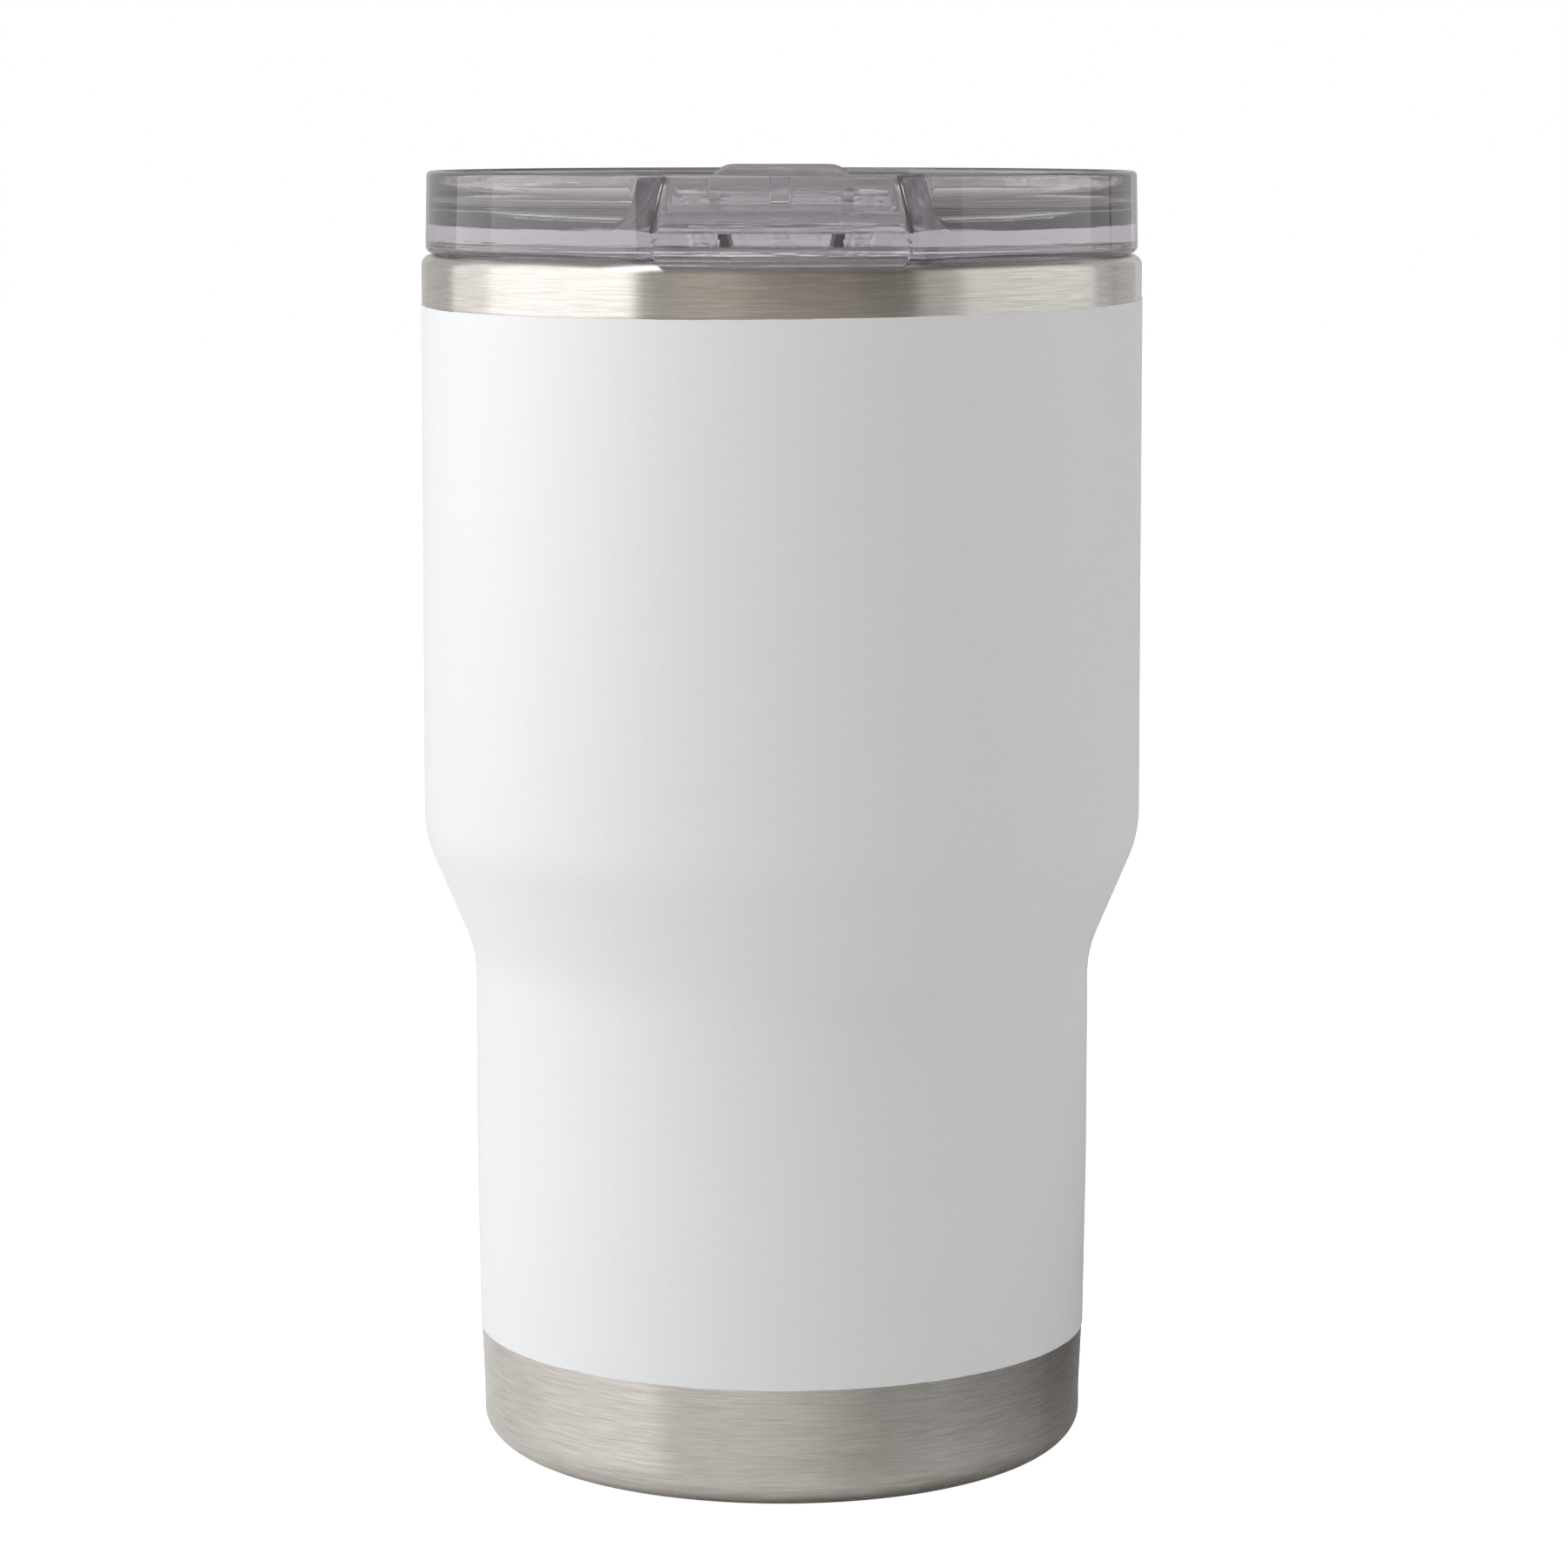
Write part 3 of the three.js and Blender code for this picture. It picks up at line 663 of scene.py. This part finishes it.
liner = {
    "inset": 3.8,  # from the shell's outside to the liner's inside
    "wall": 0.5,
    "floor": 9.0,
    "seam": 41.52,
    "floorCorner": (6.5, 6.0),  # outside and inside
    "lipCorner": (0.3, 1.1),
}


def makeLiner():
    inset, wall, floor, seam = liner["inset"], liner["wall"], liner["floor"], liner["seam"]
    top = cup["height"]
    line = [(*cup["waist"], cup["blend"]), (*cup["shoulder"], cup["blend"])]
    outer = [(r - inset + wall, z, fillet) for r, z, fillet in line]
    inner = [(r - inset, z, fillet) for r, z, fillet in line][::-1]
    bore = cup["lip"] - inset
    lower = cup["waist"][0] - inset
    corners = [
        (0, floor - wall), (lower + wall, floor - wall, liner["floorCorner"][0]), *outer,
        (bore + wall, top - wall, liner["lipCorner"][0]), (seam, top - wall), (seam, top),
        (bore, top, liner["lipCorner"][1]), *inner, (lower, floor, liner["floorCorner"][1]), (0, floor),
    ]
    finish(turned(corners), "cupLiner", drawnSteel, "cup", "inner_liner")


footCover = {
    "radius": 28.3,
    "rimWidth": 0.8,
    "rimBottom": 0.2,
    "face": 0.9,
    "top": 1.7,
    "ring": (18, 26),  # the ring that is pressed up into its face
    "ringRun": 0.6,
    "ringRise": 0.25,
    "ringRounding": (2, 1),
    "faceRounding": 0.3,
    "topRounding": 0.4,
}


def makeBaseCover():
    c = footCover
    inner, outer = c["ring"]
    soft, tight = c["ringRounding"]
    raised = c["face"] + c["ringRise"]
    rim = c["radius"] - c["rimWidth"]
    corners = [
        (0, c["face"]), (inner, c["face"], soft), (inner + c["ringRun"], raised, soft),
        (outer - c["ringRun"], raised, soft), (outer, c["face"], tight),
        (rim, c["face"], c["faceRounding"]), (rim, c["rimBottom"]), (c["radius"], c["rimBottom"]),
        (c["radius"], c["top"], c["topRounding"]), (0, c["top"]),
    ]
    finish(turned(corners), "footCover", steel, "cup", "base_cover")


makeShell()
makeCoat()
makeLiner()
makeBaseCover()
print("cup made")


# Heights on the lid and the slider are above the seat, where the lid's outer wall ends
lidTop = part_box("lid_body")[1][2]
lid = {
    "height": 10.0,
    "radius": 43.5,
    "draft": 0.2,
    "wall": 1.06,
    "topRounding": 0.6,
    "topInnerRounding": 0.4,
    "bottomRounding": 1.0,
    "floorTop": 3.2,
    "floorThickness": 1.6,
    "bowlRun": 12.2,
    "bowlMargin": 1.5,  # from the rim to where the bowl starts
    "skirtOuter": 39.6,
    "skirtWall": 1.7,
    "skirtDepth": 9.4,
    "skirtRounding": (0.6, 0.5, 0.7),  # at the floor, and inside and outside its lower edge
    "seatRounding": 0.2,
    "grooveTop": 4.0,
    "grooveHeight": 2.6,
    "grooveDepth": 1.1,
    "grooveRounding": 0.15,
    "notchHalfAngle": 20.6,
    "notchHalfWidth": 14.6,
    "notchTop": 2.6,
    "notchDepth": 3.5,
    "notchRounding": 0.7,
    "pocketHalfTop": 13.4,
    "pocketHalfFloor": 15.0,
    "pocketRear": -0.04,
    "pocketRounding": 0.3,
    "ribWall": 2.6,
    "ribTop": 9.6,
    "ribRoot": (0.4, 0.5),  # how far the ribs run into the floor and into the outer wall
    "ribRounding": 0.5,
    "wallFillet": 1.0,
    "filletOverlap": 0.3,
    "tooth": {
        "left": -1.3, "right": 1.0, "bottom": 6.6, "top": 9.6, "root": 0.4, "reach": 1.3,
        "rounding": 0.25,
    },
    "drink": {"halfWidth": 7, "front": -37.2, "rear": -30.2, "rounding": 3.4},
    "vent": {"radius": 1.2, "back": 27},
    "slot": {"across": 7.65, "halfWidth": 1.45, "front": -20.85, "rear": -2.24, "rounding": 1.4},
}
lidTab = {
    "gap": 0.1,  # between the seat and the cup's lip
    "clearance": 0.25,  # round the lip
    "overhang": 0.75,
    "bottom": (-0.6, 0.3),
    "nose": (0.3, 0.45),
    "slope": (43.0, 0.6, 2),
    "top": 0.6,
    "under": 0.02,
    "root": 0.5,  # how far it runs in behind the notch
    "endGap": 0.12,
    "endRounding": 1.2,
    "endHeights": (-0.6, 1.5),
}
cutPast = 1  # mm that a tool runs past what it cuts
floorCut = (0, 5)  # heights between which the openings in the floor are cut
seat = lidTop - lid["height"] * mm
lidInner = lid["radius"] - lid["draft"] - lid["wall"]


def lifted(bm):
    bmesh.ops.translate(bm, verts=bm.verts, vec=(0, 0, seat))
    return bm


def shapeBy(piece, operation, bm):
    combine(piece, looseObject(lifted(bm), "tool"), operation)


def drum(radius, bottom, top, steps=192):
    return turned([(0, bottom), (radius, bottom), (radius, top), (0, top)], steps)


def frontSector(inner, outer, halfAngle, bottom, top):
    bm = bmesh.new()
    section = ((inner, bottom), (outer, bottom), (outer, top), (inner, top))
    face = bm.faces.new([bm.verts.new((0, -r * mm, z * mm)) for r, z in section])
    return swept(bm, [face], -halfAngle, 2 * halfAngle)


# Block through the front of the lid, its corners rounded as seen from the front
def frontBlock(halfWidth, bottom, top, fillet):
    corners = rectangle(-halfWidth, halfWidth, bottom, top, fillet, fillet)
    return barAlongY(corners, -lid["radius"] - 4 * cutPast, -lid["radius"] + 8 * cutPast)


def pocketSection(wall, bottom, top):
    lean = (lid["pocketHalfFloor"] - lid["pocketHalfTop"]) / (lid["height"] - lid["floorTop"])
    low = lid["pocketHalfFloor"] - lean * (bottom - lid["floorTop"]) + wall
    high = lid["pocketHalfFloor"] - lean * (top - lid["floorTop"]) + wall
    return [(-low, bottom), (low, bottom), (high, top), (-high, top)]


def makeLidBlank():
    under = lid["floorTop"] - lid["floorThickness"]
    skirt = lid["skirtOuter"]
    skirtInner = skirt - lid["skirtWall"]
    atFloor, inside, outside = lid["skirtRounding"]
    groove = skirt - lid["grooveDepth"]
    low = -lid["grooveTop"] - lid["grooveHeight"]
    soft = lid["grooveRounding"]
    bowlTop = lid["height"] - lid["bowlMargin"]
    centre = lidInner - lid["bowlRun"]
    bowl = []
    for i in range(15):
        angle = math.radians(-90 * i / 14)
        bowl.append((
            centre + lid["bowlRun"] * math.cos(angle),
            bowlTop + (bowlTop - lid["floorTop"]) * math.sin(angle),
        ))
    return turned([
        (0, under), (skirtInner, under, atFloor), (skirtInner, -lid["skirtDepth"], inside),
        (skirt, -lid["skirtDepth"], outside), (skirt, low, soft), (groove, low, soft),
        (groove, -lid["grooveTop"], soft), (skirt, -lid["grooveTop"], soft),
        (skirt, 0, lid["seatRounding"]), (lid["radius"], 0, lid["bottomRounding"]),
        (lid["radius"] - lid["draft"], lid["height"], lid["topRounding"]),
        (lidInner, lid["height"], lid["topInnerRounding"]), *bowl, (0, lid["floorTop"]),
    ], 192)


# Soft leaning corner where a rib runs into the outer wall; side is -1 or 1, and facing is 1 away
# from the middle and -1 towards it
def wallFillet(side, facing, wall):
    reach, overlap = lid["wallFillet"], lid["filletOverlap"]
    section = pocketSection(wall, lid["floorTop"] - overlap, lid["ribTop"] - 0.1)
    bm = bmesh.new()
    rings = []
    for half, height in section[1:3]:
        across = math.asin(half / lidInner)
        ring = [(half - facing * overlap, lidInner * math.cos(across) + overlap)]
        for i in range(7):
            turn = math.radians(90 * i / 6)
            x = half + facing * reach * (1 - math.sin(turn))
            inward = reach * (1 - math.cos(turn))
            ring.append((x, math.sqrt(lidInner ** 2 - x ** 2) - inward))
        rings.append([bm.verts.new((side * x * mm, -y * mm, height * mm)) for x, y in ring])
    low, high = rings
    count = len(low)
    for i in range(count):
        bm.faces.new((low[i], low[(i + 1) % count], high[(i + 1) % count], high[i]))
    bm.faces.new(low)
    bm.faces.new(high[::-1])
    bmesh.ops.recalc_face_normals(bm, faces=bm.faces)
    return bm


def makeTab():
    lipCentre = (cup["lip"] - cup["lipRounding"], -lidTab["gap"] - cup["lipRounding"])
    over = cup["lipRounding"] + lidTab["clearance"]
    edge = cup["lip"] + lidTab["overhang"]
    arc = []
    for angle in range(80, 29, -10):  # round the lip, from near its top to its outside
        turn = math.radians(angle)
        arc.append((lipCentre[0] + over * math.cos(turn), lipCentre[1] + over * math.sin(turn)))
    inner = lid["radius"] - lid["notchDepth"] - lidTab["root"]
    section = [
        *arc, (edge, *lidTab["bottom"]), (edge, *lidTab["nose"]), lidTab["slope"],
        (inner, lidTab["top"]), (inner, lidTab["under"]), (lipCentre[0], lidTab["under"]),
    ]
    bm = wire(section, True)
    face = bmesh.ops.contextual_create(bm, geom=bm.edges[:])["faces"]
    return swept(bm, face, -90 - lid["notchHalfAngle"], 2 * lid["notchHalfAngle"])


def makeLid():
    piece = looseObject(lifted(makeLidBlank()), "clearLid")
    intoFloor, intoWall = lid["ribRoot"]
    height = lid["height"]
    ribs = looseObject(lifted(barAlongY(
        pocketSection(lid["ribWall"], lid["floorTop"] - intoFloor, lid["ribTop"]),
        -lid["radius"], lid["pocketRear"] + lid["ribWall"], lid["ribRounding"],
    )), "ribs")
    shapeBy(ribs, "INTERSECT", drum(lidInner + intoWall, -cutPast, height + cutPast))
    combine(piece, ribs, "UNION")
    pocket = looseObject(lifted(barAlongY(
        pocketSection(0, lid["floorTop"], height + cutPast / 2),
        -lid["radius"], lid["pocketRear"], lid["pocketRounding"],
    )), "pocket")
    shapeBy(pocket, "INTERSECT", drum(lidInner, -cutPast, height + cutPast))
    combine(piece, pocket, "DIFFERENCE")
    for side in (-1, 1):
        for facing, wall in ((1, lid["ribWall"]), (-1, 0)):
            shapeBy(piece, "UNION", wallFillet(side, facing, wall))
    notch = looseObject(lifted(frontSector(
        lid["radius"] - lid["notchDepth"], lid["radius"] + 3 * cutPast,
        lid["notchHalfAngle"] + 2, -3 * cutPast, lid["notchTop"],
    )), "notch")
    sides = frontBlock(lid["notchHalfWidth"], -4 * cutPast, lid["notchTop"], lid["notchRounding"])
    shapeBy(notch, "INTERSECT", sides)
    combine(piece, notch, "DIFFERENCE")
    tooth = lid["tooth"]
    section = rectangle(tooth["left"], tooth["right"], tooth["bottom"], tooth["top"])
    front, rear = -lidInner - tooth["root"], -lidInner + tooth["reach"]
    shapeBy(piece, "UNION", barAlongY(section, front, rear, tooth["rounding"]))
    tab = looseObject(lifted(makeTab()), "tab")
    endAt = lid["notchHalfWidth"] - lidTab["endGap"]
    ends = frontBlock(endAt, *lidTab["endHeights"], lidTab["endRounding"])
    shapeBy(tab, "INTERSECT", ends)
    combine(piece, tab, "UNION")
    drink = lid["drink"]
    half, soft = drink["halfWidth"], drink["rounding"]
    opening = rectangle(-half, half, drink["front"], drink["rear"], soft, soft)
    shapeBy(piece, "DIFFERENCE", plate(opening, *floorCut))
    vent = drum(lid["vent"]["radius"], *floorCut, 32)
    bmesh.ops.translate(vent, verts=vent.verts, vec=(0, lid["vent"]["back"] * mm, 0))
    shapeBy(piece, "DIFFERENCE", vent)
    slot = lid["slot"]
    half, soft = slot["halfWidth"], slot["rounding"]
    for side in (-1, 1):
        middle = side * slot["across"]
        opening = rectangle(middle - half, middle + half, slot["front"], slot["rear"], soft, soft)
        shapeBy(piece, "DIFFERENCE", plate(opening, *floorCut))
    dress(piece, lidPlastic, "lid", "lid_body", 30)


plugGasket = {
    "inner": 38.65,
    "base": (39.5, 0.1),  # radius and rounding of the ends, the ridges and the valley
    "ridge": (40.05, 0.15),
    "valley": (39.5, 0.2),
    "heights": (-6.45, -6.0, -5.3, -4.6, -4.15),
}


def makeGasket():
    inner = plugGasket["inner"]
    profile = [plugGasket[name] for name in ("base", "ridge", "valley", "ridge", "base")]
    heights = plugGasket["heights"]
    outside = [(radius, height, soft) for (radius, soft), height in zip(profile, heights)]
    bm = turned([(inner, heights[0]), *outside, (inner, heights[-1])])
    finish(lifted(bm), "plugGasket", silicone, "lid", "lid_gasket")


slider = {
    "front": -41.34,
    "rear": -16.54,
    "halfWidth": 14.1,
    "bottom": 3.4,
    "plateTop": 5.7,
    "rearCorner": 4,
    "plateRounding": 0.3,
    "deck": {
        "halfWidth": 12.8, "front": -29.94, "rear": -17.54, "bottom": 5.2, "top": 6.9,
        "frontCorner": 2, "rearCorner": 3, "rounding": 0.4,
    },
    "thumb": {
        "halfWidth": 8.6, "front": -28.04, "rear": -22.04, "top": 11.0, "corner": 3.0, "rounding": 0.4,
    },
    "leg": {
        "inner": 6.5, "outer": 8.8, "top": 3.9, "bottom": 0.2, "toe": 8.2,
        "hook": 9.9, "hookBottom": 1.0, "hookTop": 1.3, "front": -20.54, "rear": -17.54,
    },
    "window": {"across": 7.65, "halfWidth": 0.65, "front": -31, "rear": -28.34, "top": 8},
}


def makeSlider():
    half = slider["halfWidth"]
    plan = rectangle(-half, half, slider["front"] - 2 * cutPast, slider["rear"], 0, slider["rearCorner"])
    base = plate(plan, slider["bottom"], slider["plateTop"], slider["plateRounding"])
    body = looseObject(lifted(base), "sliderBody")
    shapeBy(body, "INTERSECT", drum(-slider["front"], 0, slider["thumb"]["top"] + cutPast))
    deck = slider["deck"]
    half = deck["halfWidth"]
    plan = rectangle(-half, half, deck["front"], deck["rear"], deck["frontCorner"], deck["rearCorner"])
    shapeBy(body, "UNION", plate(plan, deck["bottom"], deck["top"], deck["rounding"]))
    thumb = slider["thumb"]
    half = thumb["halfWidth"]
    section = rectangle(-half, half, slider["plateTop"], thumb["top"], 0, thumb["corner"])
    shapeBy(body, "UNION", barAlongY(section, thumb["front"], thumb["rear"], thumb["rounding"]))
    leg, window = slider["leg"], slider["window"]
    half = window["halfWidth"]
    profile = (
        (leg["inner"], leg["top"]), (leg["inner"], leg["bottom"]), (leg["toe"], leg["bottom"]),
        (leg["hook"], leg["hookBottom"]), (leg["hook"], leg["hookTop"]),
        (leg["outer"], leg["hookTop"]), (leg["outer"], leg["top"]),
    )
    for side in (-1, 1):
        section = [(side * x, z) for x, z in profile]
        shapeBy(body, "UNION", barAlongY(section, leg["front"], leg["rear"]))
        middle = side * window["across"]
        plan = rectangle(middle - half, middle + half, window["front"], window["rear"])
        shapeBy(body, "DIFFERENCE", plate(plan, slider["plateTop"], window["top"]))
    dress(body, sliderPlastic, "slider", "slider", 30)


makeLid()
makeGasket()
makeSlider()
print("lid made")


# The pieces out of sight keep their shape from the frame and only get their finish
hiddenFinishes = {
    "copper_foil_wrap": copperFoil,
    "vacuum_base": drawnSteel,
    "sealing_bead": solderGlass,
    "getter_cup": drawnSteel,
    "getter_pellet": getterMetal,
}
for nodeName, material in hiddenFinishes.items():
    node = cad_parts[nodeName]
    node.data.materials.clear()
    node.data.materials.append(material)


# Seamless matt paper, with painted shadows near the cup in what the clear lid and the steel foot show of
# it
floorLook = {
    "halfSize": 3.0,  # metres, as are the distances below
    "paper": "#F8F8F7",
    "roughness": 0.9,
    "throughLidPaintedShadow": "#5E5856",  # painted shadow: through the clear lid the paper close by is painted dark, as the cup's shadow
    "farOff": "#D6D0CC",  # and pale further off
    "throughLidPaintedShadowFade": (0.25, 1.0),
    "shadow": "#2E2B29",  # painted shadow: the paper close to the cup on its right, away from the key light, is painted dark where only the steel foot mirrors it
    "shadowSide": (0.0, 0.08),
    "shadowFade": (0.12, 0.35),
}


def makeFloor(look):
    bm = bmesh.new()
    bmesh.ops.create_grid(bm, x_segments=1, y_segments=1, size=look["halfSize"])
    material, tree, shader = newMaterial("palePaperFloorWithPaintedShadows")
    path = addNode(tree, "ShaderNodeLightPath")
    position = addNode(tree, "ShaderNodeTexCoord").outputs["Object"]
    away = addNode(tree, "ShaderNodeVectorMath", {"operation": "LENGTH"}, {0: position}).outputs["Value"]
    # painted shadow: for rays through the lid the paper is painted dark close to the cup and paler
    # further off
    low, high = look["throughLidPaintedShadowFade"]
    fade = addNode(tree, "ShaderNodeMapRange", {"From Min": low, "From Max": high}, {"Value": away})
    shaded = addNode(
        tree, "ShaderNodeMix",
        {"data_type": "RGBA", 6: linear(look["throughLidPaintedShadow"]), 7: linear(look["farOff"])},
        {0: fade.outputs["Result"]},
    )
    # painted shadow: for glossy rays the paper near the cup on its right is painted dark
    side = addNode(tree, "ShaderNodeSeparateXYZ", None, {0: position}).outputs[0]
    low, high = look["shadowSide"]
    right = addNode(tree, "ShaderNodeMapRange", {"From Min": low, "From Max": high}, {"Value": side})
    low, high = look["shadowFade"]
    near = addNode(
        tree, "ShaderNodeMapRange",
        {"From Min": low, "From Max": high, "To Min": 1.0, "To Max": 0.0}, {"Value": away},
    )
    patch = addNode(
        tree, "ShaderNodeMath", {"operation": "MULTIPLY"},
        {0: right.outputs["Result"], 1: near.outputs["Result"]},
    )
    mirrored = addNode(
        tree, "ShaderNodeMath", {"operation": "MULTIPLY"},
        {0: patch.outputs[0], 1: path.outputs["Is Glossy Ray"]},
    )
    paperAndPaintedShadow = addNode(
        tree, "ShaderNodeMix",
        {"data_type": "RGBA", 6: linear(look["paper"]), 7: linear(look["shadow"])},
        {0: mirrored.outputs[0]},
    )
    paper = addNode(
        tree, "ShaderNodeMix", {"data_type": "RGBA"},
        {0: path.outputs["Is Transmission Ray"], 6: paperAndPaintedShadow.outputs[2], 7: shaded.outputs[2]},
    )
    tree.links.new(paper.outputs[2], shader.inputs["Base Color"])
    shader.inputs["Roughness"].default_value = look["roughness"]
    shader.inputs["Emission Color"].default_value = (1, 1, 1, 1)
    tree.links.new(path.outputs["Is Camera Ray"], shader.inputs["Emission Strength"])
    floor = looseObject(bm, "paperFloor")
    floor.data.materials.append(material)


makeFloor(floorLook)

print("scene finished")
